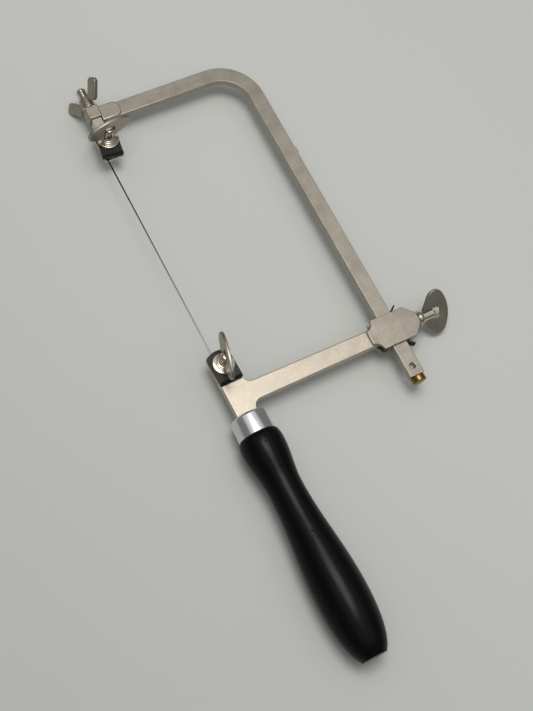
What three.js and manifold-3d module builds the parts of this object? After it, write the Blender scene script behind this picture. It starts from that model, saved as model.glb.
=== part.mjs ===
// A jeweller's saw lying on its side: a sliding bow, two blade clamps, a tension nut and a turned handle.
// Millimetres. X runs from the blade to the spine, Y from the handle to the head, Z up out of the frame.
// The origin is under the middle of the whole saw, on the surface that it lies on.
import * as THREE from 'three';
import { mergeVertices } from 'three/addons/utils/BufferGeometryUtils.js';
import Module from 'manifold-3d';

const wasm = await Module();
wasm.setup();

// Blade, a toothed wire strip whose teeth point to the handle
const bladeLength = 130;
const bladeWidth = 0.7;
const bladeThickness = 0.36;
const bladeGrip = 10.3; // length that each clamp holds
const plainEnd = 14; // length without teeth at each end
const toothPitch = 0.8;
const toothDepth = 0.22;
const gripGap = 0.05; // between the blade and the jaw or plate that holds it
const bladePassing = 0.45; // between the blade and the screw, neck or head that it runs beside

// Bow, one bent bar
const throatDepth = 80; // blade line to the spine's inner edge
const barWidth = 7.5;
const barThickness = 4;
const barEdge = 0.4;
const bowCorner = 22; // outer radius of the bend
const headRise = 19.8; // upper jaw's edge to the top arm
const spineTail = 17.2; // spine below the slide block
const tailHole = 3;
const tailHoleInset = 5;
const nibHeight = 0.6; // stop nib on the spine's outer edge
const nibLength = 4.4;
const slideTravel = 93.6; // slide block to the nib

// Brass end stop, a turned plug with a stem pressed into the spine's end
const stopDiameter = 7;
const stopLength = 3.5;
const stopEdge = 0.35;
const stopStem = 2.4;
const stopStemLength = 2.6;

// Lower arm, which carries the lower jaw and the tang
const armDrop = 24.7; // lower jaw's edge to the arm's centre line
const armThickness = 4;
const armWidthAtStem = 9.4;
const armWidthAtBlock = 8.5;
const armFillet = 4;
const stemWidth = 10;
const stemCorner = 0.6;
const stemDrop = 9.7; // arm's centre line to the shoulder on the ferrule
const tangWidth = 6.4;
const tangTipWidth = 3;
const tangLength = 58;
const armEdge = 0.45;

// Slide block, a fork over the arm and a slot for the spine
const blockHeight = 15.5;
const blockNose = 7.6; // reach past the spine's inner edge
const blockCore = 2.1; // wall between the arm's end and the spine
const blockCheek = 1.65; // wall over each face of the spine
const blockScrewWall = 8.2; // wall that the slide screw is threaded through
const scallopRadius = 4.6;
const blockChamfer = 5.1;
const blockChamferRound = 2;
const blockEdge = 0.5;

// Pressure strip between the slide screw and the spine
const stripThickness = 0.8;
const stripWidth = 3.6;
const stripLip = 4.1;
const stripBend = 51 * THREE.MathUtils.DEG2RAD; // lip's turn away from the spine
const stripTravel = 1.4; // room for the strip to back off

// Clamp plates, loose plates with one round and one bevelled end
const plateShort = 7.3; // screw to the round end
const plateLong = 8.7; // screw to the bevelled end
const plateThickness = 2.6;
const plateBevel = 1.3;
const plateCorner = 2; // at the round end
const plateBevelCorner = 0.5;
const plateEdge = 0.25;
const clampWidth = 10.4; // plates and jaws
const lowerSetback = 0.8; // plate behind the lower jaw's edge
const upperSetback = 0.15;
const seatGap = 0.8; // plate to the shoulder behind it
const lowerPlateTurn = 2 * THREE.MathUtils.DEG2RAD; // how far each loose plate is swung on its screw
const upperPlateTurn = -8 * THREE.MathUtils.DEG2RAD;
const jawCorner = 1.2;

// Thumb screws, each with an oval wing held on its shaft
const clampThread = 3;
const slideThread = 5;
const clampFlange = 10.4;
const slideFlange = 7;
const flangeThickness = 1.2;
const flangeEase = 0.3;
const bossHeight = 1.5;
const bossSpread = 1.1; // boss beyond the shaft at the flange
const thumbShaft = 5;
const thumbShaftLength = 7.1;
const thumbDome = 1.25;
const clampWingLength = 23;
const clampWingHeight = 13.6;
const slideWingLength = 26;
const slideWingHeight = 14.6;
const wingThickness = 1.5;
const wingEdge = 0.45;
const wingStandOff = 0.4; // wing above the boss
const notchGap = 2.9; // open end of the wing's notch beyond the shaft
const notchFullness = 0.95; // rounding of the notch's end, where 1 is a half circle
const collarGap = 0.6; // slide screw's flange to the block
const lowerWingTurn = 79.5 * THREE.MathUtils.DEG2RAD; // how far each screw is turned at rest
const upperWingTurn = 5 * THREE.MathUtils.DEG2RAD;
const slideWingTurn = -40.3 * THREE.MathUtils.DEG2RAD;

// Tension jaw, with a square shank in the head and a threaded rod for the wing nut
const jawThickness = 4.2;
const jawShoulder = 0.35; // solid end of the jaw behind the plate
const shankSize = 4.4;
const rodDiameter = 4;
const rodDome = 1.3;
const rodBeyondNut = 5.6;
const tensionTravel = 2.1; // jaw's movement each way from rest

// Head block, a fork on the end of the top arm with a square hole for the shank
const headWall = 1; // wall beside the shank
const headLength = 7.1;
const headShift = 2.3; // block's lower face above the arm's lower edge
const headCheek = 1.3;
const sleeveCheek = 1;
const sleeveReach = 9.8; // fork along the arm
const sleeveLap = 0.3; // fork beyond each edge of the arm
const sleeveRound = 3;
const headEdge = 0.5;

// Washer and wing nut
const washerThickness = 0.9;
const nutWall = 1.1;
const nutHeight = 4.8;
const nutTaper = 0.5;
const earReach = 11.3; // rod's axis to an ear's tip
const earRise = 7.6; // nut's seat to an ear's tip
const earWidth = 5.2;
const earRootWidth = 4;
const earThickness = 2;
const earEdge = 0.5;
const nutTurn = 55 * THREE.MathUtils.DEG2RAD; // how far the nut is turned at rest

// Ferrule and handle
const handleInset = 1.4; // handle's axis from the blade line, toward the spine
const ferruleLength = 10;
const ferruleTopDiameter = 16.9;
const ferruleDiameter = 18.2;
const ferruleWall = 1.1;
const ferruleRound = 1.5;
const handleLength = 109.6; // wood below the ferrule
const shoulderDiameter = 21;
const waistDiameter = 16.6;
const bellyDiameter = 24;
const endDiameter = 11.8;
const shoulderAt = 5.5; // places along the handle, from the ferrule
const waistAt = 27;
const bellyAt = 79;
const endFullness = 2.4; // power of the butt's curve, 2 for an ellipse

// Fits
const slideFit = 0.15; // spine in its slot
const threadFit = 0.1;
const runningFit = 0.1;
const seatFit = 0.2; // pieces that are driven, soldered or rested together

// Places that follow from the sizes above
const gripHalf = bladeThickness / 2 + gripGap;
const bladeSide = bladeWidth / 2 + bladePassing;
const spineOuter = throatDepth + barWidth;
const upperJawY = bladeLength - 2 * bladeGrip;
const armLow = upperJawY + headRise;
const armHigh = armLow + barWidth;
const armY = -armDrop;
const blockLow = armY - blockHeight / 2;
const blockHigh = armY + blockHeight / 2;
const spineEndY = blockLow - spineTail;
const lowerScrewX = bladeSide + clampThread / 2;
const lowerScrewY = -lowerSetback - plateShort;
const lowerSeat = lowerSetback + plateShort + plateLong + seatGap;
const headHalf = shankSize / 2 + runningFit + headWall;
const rodX = bladeSide + headHalf;
const upperScrewY = upperJawY + upperSetback + plateLong;
const upperSeat = upperSetback + plateLong + plateShort + seatGap;
const jawTopY = upperJawY + upperSeat + jawShoulder;
const headLow = armLow + headShift;
const headHigh = headLow + headLength;
const headRight = rodX + headHalf;
const barEndX = headRight + seatFit;
const washerY = headHigh + runningFit;
const nutY = washerY + washerThickness + runningFit;
const rodTipY = nutY + nutHeight + rodBeyondNut;
const plateTopZ = gripHalf + plateThickness;
const stripX = spineOuter + slideFit;
const stripBack = stripX + stripThickness;
const slotEndX = stripBack + stripTravel;
const blockEndX = slotEndX + blockScrewWall;
const slideScrewX = blockEndX + collarGap;
const armEndX = throatDepth - slideFit - blockCore - seatFit;
const shoulderY = armY - stemDrop;
const ferruleTopY = shoulderY - seatFit;
const ferruleLowY = ferruleTopY - ferruleLength;
const thumbTip = flangeThickness + bossHeight + thumbShaftLength;
const stopY = spineEndY - seatFit;

// Fineness of the round forms, and the working of the cuts
const fineSides = 40;
const smallSides = 24;
const arcSteps = 5; // steps in an eighth of a turn or so
const bendSteps = 9;
const shoulderSteps = 5; // stations along each stretch of the handle
const waistSteps = 7;
const bellySteps = 8;
const buttSteps = 9;
const weld = 1e-5; // points nearer than this are one point
const cutOver = 1; // how far a cut runs past the face that it opens

// A closed geometry as a solid that can be joined and cut.
function solid(geometry) {
  const bare = geometry.clone();
  bare.deleteAttribute('normal');
  bare.deleteAttribute('uv');
  const merged = mergeVertices(bare, weld);
  const corners = merged.index.array;
  const triangles = [];
  for (let i = 0; i < corners.length; i += 3) {
    const [a, b, c] = corners.slice(i, i + 3);
    if (a !== b && b !== c && c !== a) triangles.push(a, b, c);
  }
  return new wasm.Manifold(new wasm.Mesh({
    numProp: 3,
    vertProperties: new Float32Array(merged.attributes.position.array),
    triVerts: new Uint32Array(triangles),
  }));
}

// A solid as a geometry that a mesh can hold.
function shell(body) {
  const { vertProperties, triVerts } = body.getMesh();
  const geometry = new THREE.BufferGeometry();
  geometry.setAttribute('position', new THREE.BufferAttribute(new Float32Array(vertProperties), 3));
  geometry.setIndex(new THREE.BufferAttribute(new Uint32Array(triVerts), 1));
  geometry.computeVertexNormals();
  return geometry;
}

// A closed outline through corners of [x, y, radius], counterclockwise. A corner is sharp without a radius,
// rounded by a positive one and scooped out, about the corner itself, by a negative one.
function outline(corners) {
  const shape = new THREE.Shape();
  corners.forEach(([x, y, radius = 0], i) => {
    const corner = new THREE.Vector2(x, y);
    if (radius === 0) {
      if (i === 0) shape.moveTo(x, y);
      else shape.lineTo(x, y);
      return;
    }
    const back = new THREE.Vector2(...corners.at(i - 1)).sub(corner).normalize();
    const ahead = new THREE.Vector2(...corners[(i + 1) % corners.length]).sub(corner).normalize();
    const half = Math.acos(back.dot(ahead)) / 2;
    const rounded = radius > 0;
    const reach = rounded ? radius / Math.tan(half) : -radius;
    const toCentre = rounded ? radius / Math.sin(half) : 0;
    const centre = corner.clone().addScaledVector(back.clone().add(ahead).normalize(), toCentre);
    const from = corner.clone().addScaledVector(back, reach).sub(centre).angle();
    const to = corner.clone().addScaledVector(ahead, reach).sub(centre).angle();
    const clockwise = back.cross(ahead) > 0 === rounded;
    const arc = [centre.x, centre.y, Math.abs(radius), Math.abs(radius), from, to, clockwise, 0];
    const start = new THREE.EllipseCurve(...arc).getPoint(0);
    if (i > 0) shape.lineTo(start.x, start.y);
    shape.absellipse(...arc);
  });
  return shape;
}

// An outline given a thickness upward from z = 0, with its edges eased by a small bevel.
function slab(shape, thickness, edge = 0, curveSegments = arcSteps) {
  const geometry = new THREE.ExtrudeGeometry(shape, {
    depth: thickness - 2 * edge,
    bevelEnabled: edge > 0,
    bevelThickness: edge,
    bevelSize: edge,
    bevelOffset: -edge,
    bevelSegments: 1,
    curveSegments,
  });
  return geometry.translate(0, 0, edge);
}

// The same slab with its thickness shared evenly above and below z = 0.
function midSlab(shape, thickness, edge, curveSegments) {
  return slab(shape, thickness, edge, curveSegments).translate(0, 0, -thickness / 2);
}

// A box between two opposite corners.
function block([x0, y0, z0], [x1, y1, z1]) {
  const geometry = new THREE.BoxGeometry(x1 - x0, y1 - y0, z1 - z0);
  return geometry.translate((x0 + x1) / 2, (y0 + y1) / 2, (z0 + z1) / 2);
}

// A profile of [radius, height] points spun about Y.
function turned(profile, sides) {
  const points = profile.map(([radius, height]) => new THREE.Vector2(radius, height));
  return new THREE.LatheGeometry(points, sides);
}

// A round bar along Y between two heights.
function roundBar(radius, y0, y1, sides = smallSides) {
  return turned([[0, y0], [radius, y0], [radius, y1], [0, y1]], sides);
}

// Points of a quarter-round or dome, from the side to the top.
function quarterRound(radius, height, baseRadius, baseHeight, steps) {
  return Array.from({ length: steps + 1 }, (_, i) => {
    const turn = (i / steps) * (Math.PI / 2);
    return [baseRadius + radius * Math.cos(turn), baseHeight + height * Math.sin(turn)];
  });
}

const finish = (color, roughness, metalness) => (
  new THREE.MeshStandardMaterial({ color, roughness, metalness })
);
const satinNickel = () => finish(0xb1a998, 0.42, 1);
const paleNickel = () => finish(0xcdc4b1, 0.5, 1);
const brightNickel = () => finish(0xbdb5a6, 0.2, 1);
const blackSteel = () => finish(0x1d1d1c, 0.45, 0.6);
const bladeSteel = () => finish(0x3b3834, 0.4, 0.9);
const aluminium = () => finish(0xc4c7c9, 0.25, 1);
const agedBrass = () => finish(0x8a6a32, 0.35, 1);
const blackLacquer = () => finish(0x0e0e0f, 0.32, 0);

function named(name, geometry, material) {
  const mesh = new THREE.Mesh(geometry, material);
  mesh.name = name;
  return mesh;
}

function sawBlade() {
  const front = -bladeWidth / 2;
  const root = front + toothDepth;
  const low = -bladeGrip;
  const high = low + bladeLength;
  const teeth = Math.floor((bladeLength - 2 * plainEnd) / toothPitch);
  const firstTooth = low + (bladeLength - teeth * toothPitch) / 2;
  const points = [[front, low], [bladeWidth / 2, low], [bladeWidth / 2, high], [front, high]];
  for (let i = teeth; i > 0; i -= 1) {
    points.push([root, firstTooth + i * toothPitch]);
    points.push([front, firstTooth + (i - 1) * toothPitch]);
  }
  return midSlab(outline(points), bladeThickness);
}

function bowBar() {
  const nibLow = blockHigh + slideTravel;
  const nibHigh = nibLow + nibLength;
  const shape = outline([
    [barEndX, armLow],
    [throatDepth, armLow, bowCorner - barWidth],
    [throatDepth, spineEndY],
    [spineOuter, spineEndY],
    [spineOuter, nibLow],
    [spineOuter + nibHeight, nibLow + nibHeight],
    [spineOuter + nibHeight, nibHigh - nibHeight],
    [spineOuter, nibHigh],
    [spineOuter, armHigh, bowCorner],
    [barEndX, armHigh],
  ]);
  const hole = new THREE.Path();
  hole.absarc(throatDepth + barWidth / 2, spineEndY + tailHoleInset, tailHole / 2, 0, 2 * Math.PI, true);
  shape.holes.push(hole);
  const socket = roundBar(stopStem / 2 + seatFit, spineEndY - stopStemLength, spineEndY + stopStemLength);
  socket.translate(throatDepth + barWidth / 2, 0, 0);
  return shell(solid(midSlab(shape, barThickness, barEdge, bendSteps)).subtract(solid(socket)));
}

function brassEndStop() {
  const radius = stopDiameter / 2;
  const low = stopY - stopLength;
  const profile = [
    [0, low], [radius - stopEdge, low], [radius, low + stopEdge],
    [radius, stopY - stopEdge], [radius - stopEdge, stopY],
    [stopStem / 2, stopY], [stopStem / 2, stopY + stopStemLength], [0, stopY + stopStemLength],
  ];
  return shell(solid(turned(profile, smallSides).translate(throatDepth + barWidth / 2, 0, 0)));
}

function headBlock() {
  const blockHalf = barThickness / 2 + seatFit + headCheek;
  const forkThickness = barThickness + 2 * (seatFit + sleeveCheek);
  const forkEnd = headRight + sleeveReach;
  const body = outline([
    [rodX - headHalf, headLow], [headRight, headLow], [headRight, headHigh], [rodX - headHalf, headHigh],
  ]);
  const holeHalf = shankSize / 2 + runningFit;
  const forkStart = rodX + holeHalf;
  const fork = outline([
    [forkStart, armLow - sleeveLap], [forkEnd, armLow - sleeveLap, sleeveRound],
    [forkEnd, armHigh + sleeveLap, sleeveRound], [forkStart, armHigh + sleeveLap],
  ]);
  const slotHalf = barThickness / 2 + seatFit;
  const slot = block(
    [headRight, armLow - headLength, -slotHalf],
    [forkEnd + cutOver, armHigh + headLength, slotHalf],
  );
  const hole = block(
    [rodX - holeHalf, armLow - cutOver, -holeHalf],
    [rodX + holeHalf, headHigh + cutOver, holeHalf],
  );
  const core = solid(midSlab(body, 2 * blockHalf, headEdge));
  const joined = core.add(solid(midSlab(fork, forkThickness, headEdge)));
  return shell(joined.subtract(solid(slot)).subtract(solid(hole)));
}

function tensionWasher() {
  const outer = rodDiameter / 2 + runningFit + nutWall;
  const inner = rodDiameter / 2 + runningFit;
  const top = washerY + washerThickness;
  const ring = [[inner, washerY], [outer, washerY], [outer, top], [inner, top], [inner, washerY]];
  return shell(solid(turned(ring, smallSides).translate(rodX, 0, 0)));
}

// The nut is made about its own axis, standing on y = 0 with its ears along X.
function wingNut() {
  const foot = rodDiameter / 2 + runningFit + nutWall;
  const hub = turned([[0, 0], [foot, 0], [foot - nutTaper, nutHeight], [0, nutHeight]], smallSides);
  const tip = new THREE.Vector2(earReach - earWidth / 2, earRise - earWidth / 2);
  const rootCentre = new THREE.Vector2(rodDiameter / 2, earRootWidth / 2);
  const lean = tip.clone().sub(rootCentre).angle();
  const across = new THREE.Vector2(-Math.sin(lean), Math.cos(lean)).multiplyScalar(earRootWidth / 2);
  const ear = new THREE.Shape();
  ear.moveTo(rootCentre.x + across.x, rootCentre.y + across.y);
  ear.lineTo(rootCentre.x - across.x, rootCentre.y - across.y);
  ear.absarc(tip.x, tip.y, earWidth / 2, lean - Math.PI / 2, lean + Math.PI / 2, false);
  const right = midSlab(ear, earThickness, earEdge);
  const left = right.clone().rotateY(Math.PI);
  const bore = roundBar(rodDiameter / 2 + runningFit, -cutOver, earRise);
  return shell(solid(hub).add(solid(right)).add(solid(left)).subtract(solid(bore)));
}

function tensionJaw() {
  const half = clampWidth / 2;
  const jaw = outline([
    [rodX - half, upperJawY, jawCorner], [rodX + half, upperJawY, jawCorner],
    [rodX + half, jawTopY, jawCorner], [rodX - half, jawTopY, jawCorner],
  ]);
  const seat = block(
    [rodX - clampWidth, upperJawY - cutOver, -gripHalf],
    [rodX + clampWidth, jawTopY - jawShoulder, jawThickness],
  );
  const passage = block(
    [rodX - clampWidth, upperJawY - cutOver, -gripHalf],
    [bladeSide, jawTopY + cutOver, jawThickness],
  );
  const hole = screwHole(rodX, upperScrewY);
  const shankHalf = shankSize / 2;
  const shankEnd = headHigh - headEdge - tensionTravel;
  const shank = block(
    [rodX - shankHalf, jawTopY - jawShoulder, -shankHalf],
    [rodX + shankHalf, shankEnd, shankHalf],
  );
  const rodRadius = rodDiameter / 2;
  const dome = quarterRound(rodRadius, rodDome, 0, rodTipY - rodDome, arcSteps);
  const rod = turned([[0, jawTopY], [rodRadius, jawTopY], ...dome.slice(0, -1), [0, rodTipY]], smallSides);
  const plate = solid(midSlab(jaw, jawThickness, armEdge));
  const body = plate.subtract(solid(seat)).subtract(solid(passage)).subtract(solid(hole));
  return shell(body.add(solid(shank)).add(solid(rod.translate(rodX, 0, 0))));
}

// A hole through a jaw for its clamp screw.
function screwHole(x, y) {
  const radius = clampThread / 2 + threadFit;
  return roundBar(radius, -jawThickness - armThickness, jawThickness + armThickness)
    .rotateX(Math.PI / 2).translate(x, y, 0);
}

function lowerArm() {
  const left = lowerScrewX - clampWidth / 2;
  const right = lowerScrewX + clampWidth / 2;
  const stemRight = left + stemWidth;
  const tangEnd = shoulderY - tangLength;
  const shape = outline([
    [left, 0, jawCorner], [left, shoulderY, stemCorner],
    [handleInset - tangWidth / 2, shoulderY], [handleInset - tangTipWidth / 2, tangEnd],
    [handleInset + tangTipWidth / 2, tangEnd], [handleInset + tangWidth / 2, shoulderY],
    [stemRight, shoulderY, stemCorner], [stemRight, armY - armWidthAtStem / 2, armFillet],
    [armEndX, armY - armWidthAtBlock / 2], [armEndX, armY + armWidthAtBlock / 2],
    [right, armY + armWidthAtStem / 2, armFillet], [right, 0, jawCorner],
  ]);
  const seat = block(
    [left - cutOver, -lowerSeat, -gripHalf],
    [right + cutOver, cutOver, armThickness],
  );
  const body = solid(midSlab(shape, armThickness, armEdge));
  return shell(body.subtract(solid(seat)).subtract(solid(screwHole(lowerScrewX, lowerScrewY))));
}

function slideBlock() {
  const nose = throatDepth - blockNose;
  const shoulder = blockEndX - blockChamfer;
  const shape = outline([
    [nose, blockHigh, -scallopRadius], [nose, blockLow, -scallopRadius],
    [shoulder, blockLow, blockChamferRound], [blockEndX, blockLow + blockChamfer, blockChamferRound],
    [blockEndX, blockHigh - blockChamfer, blockChamferRound], [shoulder, blockHigh, blockChamferRound],
  ]);
  const slotHalf = barThickness / 2 + slideFit;
  const thickness = 2 * (slotHalf + blockCheek);
  const beyond = blockHeight;
  const spineSlot = block(
    [throatDepth - slideFit, armY - beyond, -slotHalf],
    [slotEndX, armY + beyond, slotHalf],
  );
  const armHalf = armThickness / 2 + seatFit;
  const armSlot = block(
    [nose - cutOver, armY - beyond, -armHalf],
    [armEndX + seatFit, armY + beyond, armHalf],
  );
  const screw = roundBar(slideThread / 2 + threadFit, -blockEndX - cutOver, -stripX)
    .rotateZ(Math.PI / 2).translate(0, armY, 0);
  const body = solid(midSlab(shape, thickness, blockEdge)).subtract(solid(spineSlot));
  return shell(body.subtract(solid(armSlot)).subtract(solid(screw)));
}

function pressureStrip() {
  const reach = blockHeight / 2 + seatFit + stripThickness * Math.tan(stripBend / 2);
  const along = new THREE.Vector2(Math.sin(stripBend), Math.cos(stripBend)).multiplyScalar(stripLip);
  const through = new THREE.Vector2(along.y, -along.x).setLength(stripThickness);
  const inside = reach - stripThickness * Math.tan(stripBend / 2);
  const half = [
    [stripBack, inside],
    [stripX + along.x + through.x, reach + along.y + through.y],
    [stripX + along.x, reach + along.y],
    [stripX, reach],
  ];
  const mirrored = half.map(([x, y]) => [x, -y]).reverse();
  const shape = outline([...half, ...mirrored].map(([x, y]) => [x, armY + y]));
  return midSlab(shape, stripWidth);
}

// A clamp plate lies on z = 0 about its screw's axis, its bevelled end toward -Y.
function clampPlate() {
  const half = clampWidth / 2;
  const shape = outline([
    [-half, -plateLong, plateBevelCorner], [half, -plateLong, plateBevelCorner],
    [half, plateShort, plateCorner], [-half, plateShort, plateCorner],
  ]);
  const top = plateThickness;
  const start = plateLong - plateBevel;
  const end = plateLong + cutOver;
  const wedge = outline([
    [start, top], [end, top + start - end], [end, top + cutOver], [start, top + cutOver],
  ]);
  const bevel = midSlab(wedge, 2 * clampWidth).rotateX(Math.PI / 2).rotateZ(-Math.PI / 2);
  const hole = roundBar(clampThread / 2 + seatFit, -cutOver, top + cutOver).rotateX(Math.PI / 2);
  const plate = solid(slab(shape, plateThickness, plateEdge));
  return shell(plate.subtract(solid(bevel)).subtract(solid(hole)));
}

// A thumb screw stands up Z with the seat of its flange at z = 0 and its thread reaching below.
function thumbScrew(thread, reach, flange) {
  const radius = thread / 2;
  const rim = flange / 2;
  const boss = thumbShaft / 2 + bossSpread;
  const shaft = thumbShaft / 2;
  const dome = quarterRound(shaft, thumbDome, 0, thumbTip - thumbDome, arcSteps);
  const profile = [
    [0, -reach], [radius - flangeEase, -reach], [radius, -reach + flangeEase], [radius, 0],
    [rim - flangeEase, 0], [rim, flangeEase],
    [rim, flangeThickness - flangeEase], [rim - flangeEase, flangeThickness],
    [boss, flangeThickness], [shaft, flangeThickness + bossHeight], ...dome.slice(0, -1), [0, thumbTip],
  ];
  return shell(solid(turned(profile, smallSides).rotateX(Math.PI / 2)));
}

// The oval wing of a thumb screw, cut by a notch that straddles the shaft.
function thumbWing(length, height) {
  const oval = new THREE.Shape();
  const centre = flangeThickness + bossHeight + wingStandOff + height / 2;
  oval.absellipse(0, centre, length / 2, height / 2, 0, 2 * Math.PI, false, 0);
  const half = thumbShaft / 2 + seatFit;
  const end = thumbTip + notchGap;
  const round = half * notchFullness;
  const notch = outline([[-half, 0], [half, 0], [half, end, round], [-half, end, round]]);
  const plate = solid(midSlab(oval, wingThickness, wingEdge, fineSides / 2));
  const body = plate.subtract(solid(midSlab(notch, 2 * wingThickness)));
  return shell(body).rotateX(Math.PI / 2);
}

function ferrule() {
  const top = ferruleTopY;
  const outer = ferruleTopDiameter / 2;
  const mouth = Math.hypot(tangWidth, armThickness) / 2 + seatFit;
  const inset = outer - ferruleRound;
  const round = quarterRound(ferruleRound, ferruleRound, inset, top - ferruleRound, arcSteps);
  const profile = [
    [ferruleDiameter / 2 - ferruleWall, ferruleLowY], [ferruleDiameter / 2, ferruleLowY], ...round,
    [mouth, top], [mouth, top - ferruleWall], [outer - ferruleWall - ferruleRound / 2, top - ferruleWall],
    [outer - ferruleWall, top - ferruleWall - ferruleRound / 2],
    [ferruleDiameter / 2 - ferruleWall, ferruleLowY],
  ];
  return shell(solid(turned(profile, fineSides).translate(handleInset, 0, 0)));
}

// Radius of the handle at a distance below the ferrule.
function handleRadius(distance) {
  const ease = (from, to, share) => from + (to - from) * (1 - Math.cos(Math.PI * share)) / 2;
  if (distance < shoulderAt) {
    const rise = Math.sqrt(1 - (1 - distance / shoulderAt) ** 2);
    return (ferruleDiameter + (shoulderDiameter - ferruleDiameter) * rise) / 2;
  }
  if (distance < waistAt) {
    return ease(shoulderDiameter, waistDiameter, (distance - shoulderAt) / (waistAt - shoulderAt)) / 2;
  }
  if (distance < bellyAt) {
    return ease(waistDiameter, bellyDiameter, (distance - waistAt) / (bellyAt - waistAt)) / 2;
  }
  const endShare = (1 - (endDiameter / bellyDiameter) ** endFullness) ** (1 / endFullness);
  const share = endShare * (distance - bellyAt) / (handleLength - bellyAt);
  return bellyDiameter / 2 * (1 - share ** endFullness) ** (1 / endFullness);
}

function handle() {
  const woodTop = ferruleLowY - seatFit;
  const stations = (from, to, steps) => (
    Array.from({ length: steps }, (_, i) => from + (to - from) * i / steps)
  );
  const places = [
    ...stations(0, shoulderAt, shoulderSteps), ...stations(shoulderAt, waistAt, waistSteps),
    ...stations(waistAt, bellyAt, bellySteps), ...stations(bellyAt, handleLength, buttSteps), handleLength,
  ];
  const side = places.map((distance) => [handleRadius(distance), woodTop - distance]).reverse();
  const tenonTop = ferruleTopY - ferruleWall - ferruleRound;
  const tenonRadius = ferruleTopDiameter / 2 - ferruleWall - ferruleRound / 2 - seatFit;
  const tenonFoot = ferruleDiameter / 2 - ferruleWall - 2 * seatFit;
  const profile = [
    [0, woodTop - handleLength], ...side,
    [tenonFoot, woodTop], [tenonFoot, ferruleLowY], [tenonRadius, tenonTop], [0, tenonTop],
  ];
  const tangEnd = shoulderY - tangLength - seatFit;
  const halfTop = tangWidth / 2 + seatFit;
  const halfTip = tangTipWidth / 2 + seatFit;
  const socket = outline([
    [-halfTip, tangEnd], [halfTip, tangEnd], [halfTop, shoulderY], [-halfTop, shoulderY],
  ]);
  const wood = solid(turned(profile, fineSides));
  const hollow = solid(midSlab(socket, armThickness + 2 * seatFit));
  return shell(wood.subtract(hollow)).translate(handleInset, 0, 0);
}

// A thumb screw and its wing, turned together, with the flange's seat at the group's origin.
function thumbScrewGroup(name, screw, wing) {
  const group = new THREE.Group();
  group.add(named(`${name}_screw`, screw, brightNickel()), named(`${name}_wing`, wing, satinNickel()));
  return group;
}

function lowerClamp() {
  const plate = named('lower_clamp_plate', clampPlate(), blackSteel());
  plate.position.set(lowerScrewX, lowerScrewY, gripHalf);
  plate.rotation.z = lowerPlateTurn;
  const reach = plateTopZ + armThickness / 2 - seatFit;
  const screw = thumbScrewGroup('lower_clamp', thumbScrew(clampThread, reach, clampFlange),
    thumbWing(clampWingLength, clampWingHeight));
  screw.position.set(lowerScrewX, lowerScrewY, plateTopZ + gripGap);
  screw.rotation.z = lowerWingTurn;
  return [plate, screw];
}

function upperClamp() {
  const plate = named('upper_clamp_plate', clampPlate(), blackSteel());
  plate.position.set(rodX, upperScrewY, gripHalf);
  plate.rotation.z = upperPlateTurn;
  const reach = plateTopZ + jawThickness / 2 - seatFit;
  const screw = thumbScrewGroup('upper_clamp', thumbScrew(clampThread, reach, clampFlange),
    thumbWing(clampWingLength, clampWingHeight));
  screw.position.set(rodX, upperScrewY, plateTopZ + gripGap);
  screw.rotation.z = upperWingTurn;
  return [plate, screw];
}

function slideClamp() {
  const strip = named('pressure_strip', pressureStrip(), blackSteel());
  const reach = slideScrewX - stripBack - threadFit;
  const screw = thumbScrewGroup('slide', thumbScrew(slideThread, reach, slideFlange),
    thumbWing(slideWingLength, slideWingHeight));
  screw.position.set(slideScrewX, armY, 0);
  screw.rotation.set(slideWingTurn, Math.PI / 2, 0);
  return [strip, screw];
}

function turnedNut() {
  const nut = named('wing_nut', wingNut(), satinNickel());
  nut.position.set(rodX, nutY, 0);
  nut.rotation.y = -nutTurn;
  return nut;
}

const saw = new THREE.Group();
saw.add(
  named('bow_bar', bowBar(), satinNickel()),
  named('head_block', headBlock(), satinNickel()),
  named('brass_end_stop', brassEndStop(), agedBrass()),
  named('lower_arm', lowerArm(), paleNickel()),
  named('slide_block', slideBlock(), satinNickel()),
  named('tension_jaw', tensionJaw(), brightNickel()),
  named('tension_washer', tensionWasher(), brightNickel()),
  turnedNut(),
  ...lowerClamp(),
  ...upperClamp(),
  ...slideClamp(),
  named('ferrule', ferrule(), aluminium()),
  named('handle', handle(), blackLacquer()),
  named('saw_blade', sawBlade(), bladeSteel()),
);

// The whole saw is set down on its own box.
const box = new THREE.Box3().setFromObject(saw, true);
const middle = box.getCenter(new THREE.Vector3());
saw.position.set(-middle.x, -middle.y, -box.min.z);

export default saw;
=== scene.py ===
"""The looks of a jewellers saw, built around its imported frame.

Sizes are in millimetres in the saw's own frame. There X runs from the blade to the spine, Y from the
handle to the head and Z up. The blade's line is at X = 0, the lower jaw's edge at Y = 0 and the bow's
middle plane at Z = 0.
"""
import logging
import math
from dataclasses import dataclass
from enum import Enum
from typing import Any, Sequence

import bpy
import numpy as np
from mathutils import Matrix, Vector
from mathutils.geometry import tessellate_polygon


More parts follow.
